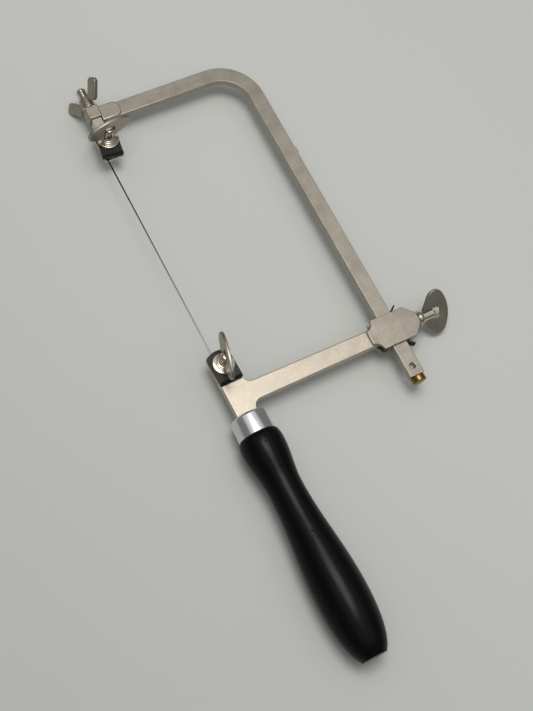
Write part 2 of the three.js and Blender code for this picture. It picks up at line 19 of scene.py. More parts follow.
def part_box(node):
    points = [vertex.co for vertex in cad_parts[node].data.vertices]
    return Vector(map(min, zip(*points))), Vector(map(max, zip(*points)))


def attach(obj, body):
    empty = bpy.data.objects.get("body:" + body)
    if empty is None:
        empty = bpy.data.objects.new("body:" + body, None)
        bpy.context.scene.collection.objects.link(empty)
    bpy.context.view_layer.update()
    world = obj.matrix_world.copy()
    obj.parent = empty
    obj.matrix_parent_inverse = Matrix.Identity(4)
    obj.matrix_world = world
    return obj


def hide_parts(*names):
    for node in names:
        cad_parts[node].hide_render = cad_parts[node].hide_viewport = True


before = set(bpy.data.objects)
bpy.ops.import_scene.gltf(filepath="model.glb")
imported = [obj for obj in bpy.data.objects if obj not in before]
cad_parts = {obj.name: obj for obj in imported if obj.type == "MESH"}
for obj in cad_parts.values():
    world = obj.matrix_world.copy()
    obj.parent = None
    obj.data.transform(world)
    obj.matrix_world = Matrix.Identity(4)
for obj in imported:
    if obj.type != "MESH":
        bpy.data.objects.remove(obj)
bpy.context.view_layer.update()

LOG = logging.getLogger("jewellers_saw")

MILLIMETRE = 0.001
BLADE_GRIP = 10.3  # blade below the lower jaw's edge
SMOOTH_ANGLE = math.radians(32)  # edges that turn more than this stay crisp
FULL_TURN = 2 * math.pi
QUARTER = math.pi / 2
RIM = 1.35  # ring inside a rounded edge, in edge radii
BOX_CORNER = 1.5  # a box's upright corners, in edge radii
SHARPEST = 0.35  # least share of a side's normal along its corner's way in
PAST = 1.0  # how far a cutting tool reaches past what it cuts
HOLE_REACH = 5.0  # half the length of the tool that drills a jaw
BAR_SIDES = 64
HOLE_SIDES = 48
THREAD_SIDES = 72

Array = np.ndarray
Triple = tuple[float, float, float]
Colour = Triple
Corner = Triple


def saw_origin() -> Vector:
    """Where the saw's own frame sits in the row frame, in metres, from the blade's place."""
    low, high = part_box("saw_blade")
    return Vector(((low.x + high.x) / 2, low.y + BLADE_GRIP * MILLIMETRE, (low.z + high.z) / 2))


class Join(Enum):
    """How one solid meets another."""

    ADD = "UNION"
    TAKE = "DIFFERENCE"


class Turn(Enum):
    """The axis that a placed piece is turned about."""

    X = "X"
    Y = "Y"
    Z = "Z"


def unit(vectors: Array) -> Array:
    """Scales each row to length 1, and leaves a row of zeros as it is."""
    lengths = np.linalg.norm(vectors, axis=1, keepdims=True)
    return vectors / np.where(lengths > 1e-12, lengths, 1.0)


@dataclass
class Skin:
    """A closed surface: points, and faces of four and of three corners."""

    points: Array
    quads: Array
    triangles: Array

    def placed(self, matrix: Matrix) -> "Skin":
        """Gives a new surface with each point p at matrix times p. The matrix has no mirror."""
        m = np.array(matrix)
        return Skin(self.points @ m[:3, :3].T + m[:3, 3], self.quads, self.triangles)

    def mesh(self, name: str) -> bpy.types.Mesh:
        """Makes a Blender mesh of the surface, still in millimetres.

        Args:
            name: the mesh's name.

        Returns:
            The mesh.
        """
        made = bpy.data.meshes.new(name)
        made.from_pydata(self.points.tolist(), [], self.quads.tolist() + self.triangles.tolist())
        made.update()
        return made


def rounded(corners: Sequence[Corner], steps: int = 8) -> Array:
    """Draws a closed outline through corners of (x, y, radius).

    A corner of radius r becomes the arc that touches both of its sides, whose centre lies
    r / sin(half angle) along the corner's bisector. A negative radius scoops the corner out with an arc
    about the corner itself, and a radius of zero keeps it sharp.

    Args:
        corners: the corners, counterclockwise for an outer edge and clockwise for a hole.
        steps: the arc's steps at each corner.

    Returns:
        Points of the outline, one row each.
    """
    data = np.asarray(corners, float)
    at, radius = data[:, :2], data[:, 2]
    back, ahead = unit(np.roll(at, 1, 0) - at), unit(np.roll(at, -1, 0) - at)
    half = np.arccos(np.clip((back * ahead).sum(1), -1, 1)) / 2
    reach = np.where(radius > 0, radius / np.tan(half), -radius)
    shift = np.where(radius > 0, radius / np.sin(half), 0.0)
    centre = at + unit(back + ahead) * shift[:, None]
    start, end = at + back * reach[:, None] - centre, at + ahead * reach[:, None] - centre
    first = np.arctan2(start[:, 1], start[:, 0])
    swing = np.arctan2(end[:, 1], end[:, 0]) - first
    swing = (swing + math.pi) % FULL_TURN - math.pi
    angles = first[:, None] + swing[:, None] * np.linspace(0, 1, steps + 1)
    arcs = centre[:, None] + np.abs(radius)[:, None, None] * np.stack([np.cos(angles), np.sin(angles)], -1)
    keep = np.ones(arcs.shape[:2], bool)
    keep[radius == 0, 1:] = False
    return arcs[keep]


def inward(outline: Array) -> Array:
    """Finds the way in from each point of a closed outline.

    The way in is the bisector of the left-hand normals of the two sides that meet there, lengthened so
    that moving every point by it moves every side by 1.

    Args:
        outline: points, counterclockwise for an outer edge and clockwise for a hole.

    Returns:
        One vector for each point.
    """
    ahead, back = unit(np.roll(outline, -1, 0) - outline), unit(outline - np.roll(outline, 1, 0))
    left_ahead = np.stack([-ahead[:, 1], ahead[:, 0]], 1)
    left_back = np.stack([-back[:, 1], back[:, 0]], 1)
    way = unit(left_ahead + left_back)
    return way / np.clip((way * left_ahead).sum(1, keepdims=True), SHARPEST, None)


def slab(
    outline: Array, low: float, high: float, edge: float, holes: Sequence[Array] = (), steps: int = 4
) -> Skin:
    """Gives an outline a thickness, with every edge rounded.

    Each loop becomes rings. Round the quarter circle of angle t at an edge, the ring is inset by
    edge * (1 - sin t) and lies edge * (1 - cos t) inside the face. One more ring just inside each face
    keeps the face's shading flat. Without an edge there are only the two rings of a sharp block.

    Args:
        outline: the outer edge, counterclockwise.
        low: the lower face's height.
        high: the upper face's height.
        edge: the radius of the edges.
        holes: loops through the slab, clockwise.
        steps: the steps round an edge.

    Returns:
        The closed surface.
    """
    t = np.linspace(0, QUARTER, steps + 1)
    inset, drop = edge * (1 - np.sin(t)), edge * (1 - np.cos(t))
    rim = edge * RIM
    insets, heights = np.zeros(2), np.array([high, low])
    if edge > 0:
        insets = np.concatenate([[rim], inset, inset[::-1], [rim]])
        heights = np.concatenate([[high], high - drop, low + drop[::-1], [low]])
    points, quads, tops, bottoms, count = [], [], [], [], 0
    for loop in (outline, *holes):
        n = len(loop)
        flat = loop + inward(loop) * insets[:, None, None]
        rings = np.concatenate([flat, np.broadcast_to(heights[:, None, None], (*flat.shape[:2], 1))], 2)
        index = count + np.arange(len(insets) * n).reshape(len(insets), n)
        following = np.roll(index, -1, 1)
        quads.append(np.stack([index[:-1], index[1:], following[1:], following[:-1]], -1).reshape(-1, 4))
        points.append(rings.reshape(-1, 3))
        tops.append(index[0])
        bottoms.append(index[-1])
        count += index.size
    every = np.concatenate(points)
    loops = [[Vector(p) for p in every[top].tolist()] for top in tops]
    cap = np.array(tessellate_polygon(loops))
    top, bottom = np.concatenate(tops), np.concatenate(bottoms)
    a, b, c = every[top[cap[:, 0]]], every[top[cap[:, 1]]], every[top[cap[:, 2]]]
    facing = np.cross(b - a, c - a)[:, 2] > 0
    cap = np.where(facing[:, None], cap, cap[:, ::-1])
    return Skin(every, np.concatenate(quads), np.concatenate([top[cap], bottom[cap[:, ::-1]]]))


@dataclass(frozen=True)
class Thread:
    """A screw thread: the stretch of Y that it covers, its pitch and its depth."""

    low: float
    high: float
    pitch: float
    depth: float

    def cut(self, radius: Array, y: Array, angle: Array) -> Array:
        """Cuts a right-hand thread into a round bar.

        The radius falls by depth times a triangle wave of y / pitch - angle / turn, which fades out at
        both ends.

        Args:
            radius: the bar's radius at each point.
            y: each point's height.
            angle: each point's turn about Y.

        Returns:
            The new radius at each point.
        """
        phase = (y / self.pitch - angle / FULL_TURN) % 1.0
        wave = 1 - np.abs(2 * phase - 1)
        fade = np.clip(np.minimum(y - self.low, self.high - y) / (self.pitch / 2), 0, 1)
        return radius - self.depth * wave * fade


def with_rows(profile: Array, low: float, high: float, gap: float) -> Array:
    """Adds points to a profile's straight side between two heights.

    Args:
        profile: rows of radius and height, rising along that side.
        low: the lower height.
        high: the upper height.
        gap: the distance between the new points.

    Returns:
        The profile with a row at each new height, its radius read between its neighbours.
    """
    heights = np.arange(low, high, gap)
    at = int(np.flatnonzero(profile[:, 1] <= low)[-1]) if (profile[:, 1] <= low).any() else 0
    after = next(i for i in range(at, len(profile)) if profile[i, 1] >= high)
    radius = np.interp(heights, profile[[after - 1, after], 1], profile[[after - 1, after], 0])
    return np.concatenate([profile[:after], np.stack([radius, heights], 1), profile[after:]])


def lathe(profile: Array, sides: int = 96, thread: Thread | None = None, ring: bool = False) -> Skin:
    """Spins a profile of (radius, y) about Y: x = radius * sin a and z = radius * cos a.

    Args:
        profile: rows of radius and height, the outer side rising. It starts and ends on the axis
            unless it is a ring.
        sides: the steps round the axis.
        thread: a thread to cut, if any.
        ring: True for a closed profile that stays off the axis.

    Returns:
        The closed surface.
    """
    body = profile if ring else profile[1:-1]
    angle = np.arange(sides) / sides * FULL_TURN
    y = np.repeat(body[:, 1:], sides, 1)
    radius = np.repeat(body[:, :1], sides, 1)
    if thread is not None:
        radius = thread.cut(radius, y, np.broadcast_to(angle, y.shape))
    points = np.stack([radius * np.sin(angle), y, radius * np.cos(angle)], -1).reshape(-1, 3)
    index = np.arange(len(points)).reshape(len(body), sides)
    rows = np.concatenate([index, index[:1]]) if ring else index
    following = np.roll(rows, -1, 1)
    quads = np.stack([rows[:-1], following[:-1], following[1:], rows[1:]], -1).reshape(-1, 4)
    if ring:
        return Skin(points, quads, np.empty((0, 3), int))
    poles = np.array([[0, profile[0, 1], 0], [0, profile[-1, 1], 0]])
    first, last = np.full(sides, len(points)), np.full(sides, len(points) + 1)
    low_fan = np.stack([first, np.roll(index[0], -1), index[0]], 1)
    high_fan = np.stack([last, index[-1], np.roll(index[-1], -1)], 1)
    return Skin(np.concatenate([points, poles]), quads, np.concatenate([low_fan, high_fan]))


def box(low: Sequence[float], high: Sequence[float], edge: float = 0.0) -> Skin:
    """Makes a block between two corners. The edge is the radius of its upper and lower edges."""
    (x0, y0, z0), (x1, y1, z1), turn = low, high, BOX_CORNER * edge
    return slab(rounded([(x0, y0, turn), (x1, y0, turn), (x1, y1, turn), (x0, y1, turn)]), z0, z1, edge)


def arc(x: float, y: float, radius: float, first: float, last: float, steps: int) -> Array:
    """Gives points along a circle about (x, y), from the first angle to the last."""
    angle = np.linspace(first, last, steps + 1)
    return np.stack([x + radius * np.cos(angle), y + radius * np.sin(angle)], 1)


def bar(radius: float, low: float, high: float) -> Skin:
    """Makes a plain round bar along Y, from low to high."""
    return lathe(np.array([[0, low], [radius, low], [radius, high], [0, high]], float), BAR_SIDES)


def shift(x: float, y: float, z: float, *turns: tuple[Turn, float]) -> Matrix:
    """Builds the matrix that turns a piece and then sets it in place.

    Args:
        x: its place along X.
        y: its place along Y.
        z: its place along Z.
        turns: axes and angles in degrees, the last one applied first.

    Returns:
        The matrix.
    """
    made = Matrix.Translation((x, y, z))
    for axis, degrees in turns:
        made = made @ Matrix.Rotation(math.radians(degrees), 4, axis.value)
    return made


UPRIGHT = (Turn.X, 90.0)  # turns a piece made along Y to stand along Z


def carved(name: str, body: Skin, *steps: tuple[Join, Skin]) -> bpy.types.Mesh:
    """Adds solids to a solid, or takes them away.

    Args:
        name: the new mesh's name.
        body: the solid to start from.
        steps: what is done, in order.

    Returns:
        The new mesh, in millimetres.
    """
    scene = bpy.context.scene.collection
    objects = [bpy.data.objects.new(name, skin.mesh(name)) for skin in (body, *[s for _, s in steps])]
    for obj in objects:
        scene.objects.link(obj)
    for (join, _), tool in zip(steps, objects[1:]):
        cut = objects[0].modifiers.new(join.name, "BOOLEAN")
        cut.operation, cut.object, cut.solver = join.value, tool, "EXACT"
    graph = bpy.context.evaluated_depsgraph_get()
    made = bpy.data.meshes.new_from_object(objects[0].evaluated_get(graph))
    for obj in objects:
        data = obj.data
        bpy.data.objects.remove(obj)
        bpy.data.meshes.remove(data)
    return made


class Value:
    """A shader value that Python's operators work on. Each operation adds a Math node."""

    def __init__(self, shader: "Shader", socket: bpy.types.NodeSocket) -> None:
        """Wraps a socket of a shader's node."""
        self.shader = shader
        self.socket = socket

    def _math(self, operation: str, *values: Any) -> "Value":
        """Adds one Math node, whose inputs are numbers or wrapped sockets."""
        return self.shader.node("ShaderNodeMath", {"operation": operation}, dict(enumerate(values)))

    def __add__(self, other: Any) -> "Value":
        """Returns self + other."""
        return self._math("ADD", self, other)

    __radd__ = __add__

    def __sub__(self, other: Any) -> "Value":
        """Returns self - other."""
        return self._math("SUBTRACT", self, other)

    def __rsub__(self, other: Any) -> "Value":
        """Returns other - self."""
        return self._math("SUBTRACT", other, self)

    def __mul__(self, other: Any) -> "Value":
        """Returns self * other."""
        return self._math("MULTIPLY", self, other)

    def over(self, low: float, high: float) -> "Value":
        """Runs smoothly from 0 at low to 1 at high, and stays there."""
        settings = {"interpolation_type": "SMOOTHSTEP"}
        return self.shader.node("ShaderNodeMapRange", settings, {0: self, 1: low, 2: high, 3: 0.0, 4: 1.0})


class Shader:
    """A material's node tree."""

    def __init__(self, tree: bpy.types.NodeTree) -> None:
        """Empties the tree and keeps it."""
        self.tree = tree
        tree.nodes.clear()

    def node(self, kind: str, settings: dict[str, Any], inputs: dict[Any, Any], out: Any = 0) -> Value:
        """Adds a node.

        Args:
            kind: the node's type.
            settings: its own properties, set before its sockets.
            inputs: a number, a tuple or a wrapped socket for each input, by its name or its place.
            out: the output that is returned, by its name or its place.

        Returns:
            That output, wrapped.
        """
        made = self.tree.nodes.new(kind)
        for key, setting in settings.items():
            setattr(made, key, setting)
        for key, value in inputs.items():
            if isinstance(value, Value):
                self.tree.links.new(value.socket, made.inputs[key])
            else:
                made.inputs[key].default_value = value
        return Value(self, made.outputs[out])

    def place(self, stretch: Triple = (1, 1, 1)) -> Value:
        """Gives the Object coordinates, stretched so that a pattern is finer along each axis."""
        point = self.node("ShaderNodeTexCoord", {}, {}, "Object")
        return self.node("ShaderNodeMapping", {}, {"Vector": point, "Scale": stretch})

    def noise(
        self, scale: float, detail: float = 3, rough: float = 0.55, stretch: Triple = (1, 1, 1)
    ) -> Value:
        """Gives cloudy noise from 0 to 1. The scale is in waves to the metre."""
        sockets = {"Vector": self.place(stretch), "Scale": scale, "Detail": detail, "Roughness": rough}
        return self.node("ShaderNodeTexNoise", {}, sockets)

    def pits(self, scale: float) -> Value:
        """Gives the distance to scattered points, in cells. The scale is in cells to the metre."""
        return self.node("ShaderNodeTexVoronoi", {}, {"Vector": self.place(), "Scale": scale})

    def blend(self, share: Any, first: Any, second: Any) -> Value:
        """Mixes two colours, each a tuple or a wrapped socket, by the share of the second."""
        colours = {6 + i: c if isinstance(c, Value) else (*c, 1.0) for i, c in enumerate((first, second))}
        return self.node("ShaderNodeMix", {"data_type": "RGBA"}, {0: share, **colours}, 2)

    def bump(self, height: Value, depth: float, strength: float) -> Value:
        """Tilts the surface by a height from 0 to 1. The depth of 1 is in metres."""
        sockets = {"Height": height, "Distance": depth, "Strength": strength}
        return self.node("ShaderNodeBump", {}, sockets, "Normal")

    def surface(self, sockets: dict[str, Any]) -> None:
        """Ends the tree in one Principled shader with these inputs."""
        shader = self.node("ShaderNodeBsdfPrincipled", {}, sockets)
        self.node_out("ShaderNodeOutputMaterial", shader)

    def node_out(self, kind: str, shader: Value) -> None:
        """Joins a shader to the tree's output node."""
        made = self.tree.nodes.new(kind)
        self.tree.links.new(shader.socket, made.inputs["Surface"])


@dataclass(frozen=True)
class Finish:
    """What every finish has: a name, the record's slot and the colour."""

    name: str
    slot: str
    colour: Colour

    def material(self) -> bpy.types.Material:
        """Gives the finish's material, made on first use."""
        found = bpy.data.materials.get(self.name)
        if found is None:
            found = bpy.data.materials.new(self.name)
            found.use_nodes = True
            self.paint(Shader(found.node_tree))
        return found

    def paint(self, shader: Shader) -> None:
        """Builds the material's nodes. Each kind of finish has its own."""
        raise NotImplementedError


@dataclass(frozen=True)
class PlatedMetal(Finish):
    """Nickel plate or bare metal: cloudy tone, fine grain, a few stains and light scratches."""

    stain: Colour
    roughness: float
    grain: float
    cloud_scale: float = 140.0
    mottle_scale: float = 1300.0
    stain_scale: float = 420.0
    grain_scale: float = 5200.0
    scratch_scale: float = 260.0
    scratch_stretch: Triple = (1, 14, 1)
    shade: float = 0.74
    bump_depth: float = 0.00006
    bump_share: float = 0.55

    def paint(self, shader: Shader) -> None:
        """Lays clouds and stains in the colour, and grain and scratches in the roughness and the normal."""
        cloud = shader.noise(self.cloud_scale, 4)
        mottle = shader.noise(self.mottle_scale, 3, 0.6)
        stains = shader.noise(self.stain_scale, 5, 0.65).over(0.56, 0.74)
        fine = shader.noise(self.grain_scale, 2, 0.6)
        scratch = shader.noise(self.scratch_scale, 3, 0.5, self.scratch_stretch).over(0.62, 0.68)
        dark = tuple(self.shade * c for c in self.colour)
        tone = shader.blend(cloud.over(0.3, 0.7) * 0.55 + mottle.over(0.32, 0.62) * 0.45, dark, self.colour)
        tone = shader.blend(stains * 0.4, tone, self.stain)
        rough = self.roughness + (cloud - 0.5) * 0.16 + (fine - 0.5) * self.grain * 0.35 + scratch * 0.06
        height = fine * self.grain + stains * 0.15 - scratch * 0.12
        shader.surface({
            "Base Color": tone,
            "Roughness": rough,
            "Metallic": 1.0,
            "Normal": shader.bump(height, self.bump_depth, self.bump_share),
        })


@dataclass(frozen=True)
class TurnedMetal(Finish):
    """Metal from a lathe: fine rings round Y in the roughness and the normal."""

    stain: Colour
    roughness: float
    rings: float
    ring_stretch: Triple = (18, 5200, 18)
    cloud_scale: float = 230.0
    stain_scale: float = 520.0
    bump_depth: float = 0.00004

    def paint(self, shader: Shader) -> None:
        """Lays tool rings, clouds in the roughness and a few stains."""
        rings = shader.noise(1.0, 2, 0.6, self.ring_stretch)
        cloud = shader.noise(self.cloud_scale, 4)
        stains = shader.noise(self.stain_scale, 5, 0.65).over(0.55, 0.72)
        tone = shader.blend(stains * 0.45, self.colour, self.stain)
        shader.surface({
            "Base Color": tone,
            "Roughness": self.roughness + (cloud - 0.5) * 0.14 + (rings - 0.5) * 0.12,
            "Metallic": 1.0,
            "Normal": shader.bump(rings, self.bump_depth, self.rings),
        })


@dataclass(frozen=True)
class BlackOxide(Finish):
    """Blackened steel with a brown cast, worn paler in small patches."""

    worn: Colour
    roughness: float
    grain_scale: float = 3800.0
    wear_scale: float = 900.0
    metallic: float = 0.55
    bump_depth: float = 0.00005
    bump_share: float = 0.5

    def paint(self, shader: Shader) -> None:
        """Lays wear and grain over the black."""
        grain = shader.noise(self.grain_scale, 3, 0.6)
        wear = shader.noise(self.wear_scale, 5, 0.7).over(0.55, 0.78)
        shader.surface({
            "Base Color": shader.blend(wear * 0.6 + grain * 0.15, self.colour, self.worn),
            "Roughness": self.roughness + (grain - 0.5) * 0.25 - wear * 0.08,
            "Metallic": self.metallic,
            "Normal": shader.bump(grain + wear * 0.4, self.bump_depth, self.bump_share),
        })


@dataclass(frozen=True)
class BlackLacquer(Finish):
    """Satin lacquer over turned wood: the grain runs along Y and shows in the gloss, with scattered pits."""

    bloom: Colour
    roughness: float
    gloss: float
    fibre_stretch: Triple = (700, 45, 700)
    ring_stretch: Triple = (12, 500, 12)
    bloom_scale: float = 45.0
    pit_scale: float = 210.0
    patch_scale: float = 70.0
    bump_depth: float = 0.00008
    bump_share: float = 0.6

    def paint(self, shader: Shader) -> None:
        """Lays grain, lathe rings, patches of pits and a faint grey bloom."""
        fibre = shader.noise(1.0, 3, 0.6, self.fibre_stretch)
        rings = shader.noise(1.0, 2, 0.5, self.ring_stretch)
        bloom = shader.noise(self.bloom_scale, 4)
        pit = 1 - shader.pits(self.pit_scale).over(0.05, 0.16)
        sparse = shader.noise(self.patch_scale, 2).over(0.52, 0.6)
        pits = pit * sparse
        rough = self.roughness + (bloom - 0.5) * 0.16 + (fibre - 0.5) * 0.16 + pits * 0.2
        height = fibre * 0.5 + rings * 0.2 - pits * 2.0
        shader.surface({
            "Base Color": shader.blend(fibre * bloom, self.colour, self.bloom),
            "Roughness": rough,
            "Metallic": 0.0,
            "Specular IOR Level": self.gloss,
            "Normal": shader.bump(height, self.bump_depth, self.bump_share),
        })


# Each name differs from its slot, because the frame's own materials already have the slots' names.
SATIN_NICKEL = PlatedMetal(
    "satin_nickel_plate", "satin_nickel", (0.40, 0.36, 0.30), (0.23, 0.195, 0.15), roughness=0.38, grain=0.4
)
# Painted light: the satin nickel made paler for the lower arm, whose brighter look is the key light's
# reflection.
PAINTED_LIT_NICKEL = PlatedMetal(
    "painted_lit_nickel_plate", "pale_nickel", (0.55, 0.49, 0.405), (0.36, 0.30, 0.23), roughness=0.44, grain=0.5
)
BRIGHT_NICKEL = PlatedMetal(
    "bright_nickel_plate", "bright_nickel", (0.64, 0.585, 0.50), (0.38, 0.32, 0.25),
    roughness=0.17, grain=0.12,
)
BLADE_STEEL = PlatedMetal(
    "hardened_steel", "blade_steel", (0.014, 0.013, 0.012), (0.03, 0.026, 0.022), roughness=0.5, grain=0.3
)
BLACK_STEEL = BlackOxide(
    "black_oxide", "black_steel", (0.012, 0.0115, 0.011), (0.085, 0.078, 0.068), roughness=0.42
)
ALUMINIUM = TurnedMetal(
    "turned_aluminium", "aluminium", (0.70, 0.71, 0.72), (0.50, 0.50, 0.49), roughness=0.24, rings=0.2
)
AGED_BRASS = TurnedMetal(
    "tarnished_brass", "aged_brass", (0.22, 0.135, 0.04), (0.05, 0.027, 0.01), roughness=0.32, rings=0.25
)
LACQUER = BlackLacquer(
    "satin_lacquer", "black_lacquer", (0.0015, 0.0015, 0.0017), (0.004, 0.004, 0.0042),
    roughness=0.28, gloss=0.12,
)


class Workshop:
    """Puts finished surfaces into the scene, in the row frame."""

    def __init__(self) -> None:
        """Finds the saw's place in the row frame."""
        self.to_row = Matrix.Translation(saw_origin()) @ Matrix.Scale(MILLIMETRE, 4)

    def show(self, name: str, made: Skin | bpy.types.Mesh, finish: Finish, body: str, *nodes: str) -> None:
        """Adds one piece.

        Args:
            name: the piece's name.
            made: its surface, in millimetres.
            finish: its finish.
            body: the body that it rides on.
            nodes: the nodes that it stands for.
        """
        mesh = made.mesh(name) if isinstance(made, Skin) else made
        mesh.name = name
        mesh.transform(self.to_row)
        mesh.shade_smooth()
        mesh.set_sharp_from_angle(angle=SMOOTH_ANGLE)
        mesh.materials.clear()
        mesh.materials.append(finish.material())
        piece = bpy.data.objects.new(name, mesh)
        bpy.context.scene.collection.objects.link(piece)
        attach(piece, body)
        if nodes:
            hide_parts(*nodes)
        LOG.info("%s: %d faces on %s", name, len(mesh.polygons), body)


@dataclass
class Bow:
    """The bent bar with its hang hole and stop nib, and the brass plug on its end."""

    throat: float = 80.0
    width: float = 7.5
    half_thickness: float = 2.0
    edge: float = 0.25
    bend: float = 22.0
    arm_low: float = 129.2
    arm_start: float = 7.6
    spine_end: float = -49.65
    hole: float = 3.0
    hole_inset: float = 5.0
    nib_low: float = 76.65
    nib_length: float = 4.4
    nib_height: float = 0.6
    stop_diameter: float = 7.0
    stop_length: float = 3.0
    stop_edge: float = 0.45
    stop_stem: float = 2.4
    stop_gap: float = 0.2
    tail_corner: float = 0.6
    nib_foot: float = 0.5
    nib_crest: float = 0.6
    nib_slope: float = 0.9
    stem_foot: float = 0.1
    stem_length: float = 2.6
    stem_round: float = 0.2
    bend_steps: int = 24

    def bar(self) -> Skin:
        """Draws the bent bar, nib and hole, and gives it its thickness."""
        inner, outer = self.throat, self.throat + self.width
        high = self.arm_low + self.width
        nib_high = self.nib_low + self.nib_length
        tip = outer + self.nib_height
        tail, foot, crest, slope = self.tail_corner, self.nib_foot, self.nib_crest, self.nib_slope
        outline = rounded([
            (self.arm_start, self.arm_low, 0), (inner, self.arm_low, self.bend - self.width),
            (inner, self.spine_end, tail), (outer, self.spine_end, tail),
            (outer, self.nib_low, foot), (tip, self.nib_low + slope, crest),
            (tip, nib_high - slope, crest), (outer, nib_high, foot),
            (outer, high, self.bend), (self.arm_start, high, 0),
        ], self.bend_steps)
        turn = -np.arange(HOLE_SIDES) / HOLE_SIDES * FULL_TURN
        centre = np.array([inner + self.width / 2, self.spine_end + self.hole_inset])
        hole = centre + self.hole / 2 * np.stack([np.cos(turn), np.sin(turn)], 1)
        return slab(outline, -self.half_thickness, self.half_thickness, self.edge, [hole])

    def stop(self) -> Skin:
        """Spins the plug's profile about the spine's line."""
        top = self.spine_end - self.stop_gap
        low = top - self.stop_length
        radius, stem = self.stop_diameter / 2, self.stop_stem / 2
        profile = rounded([
            (0, low, 0), (radius, low, self.stop_edge), (radius, top, self.stop_edge),
            (stem, top, self.stem_foot), (stem, top + self.stem_length, self.stem_round),
            (0, top + self.stem_length, 0),
        ])
        return lathe(profile).placed(shift(self.throat + self.width / 2, 0, 0))

    def build(self, shop: Workshop) -> None:
        """Shows the bar and the plug."""
        shop.show("plated_bow", self.bar(), SATIN_NICKEL, "bow", "bow_bar")
        shop.show("brass_plug", self.stop(), AGED_BRASS, "bow", "brass_end_stop")


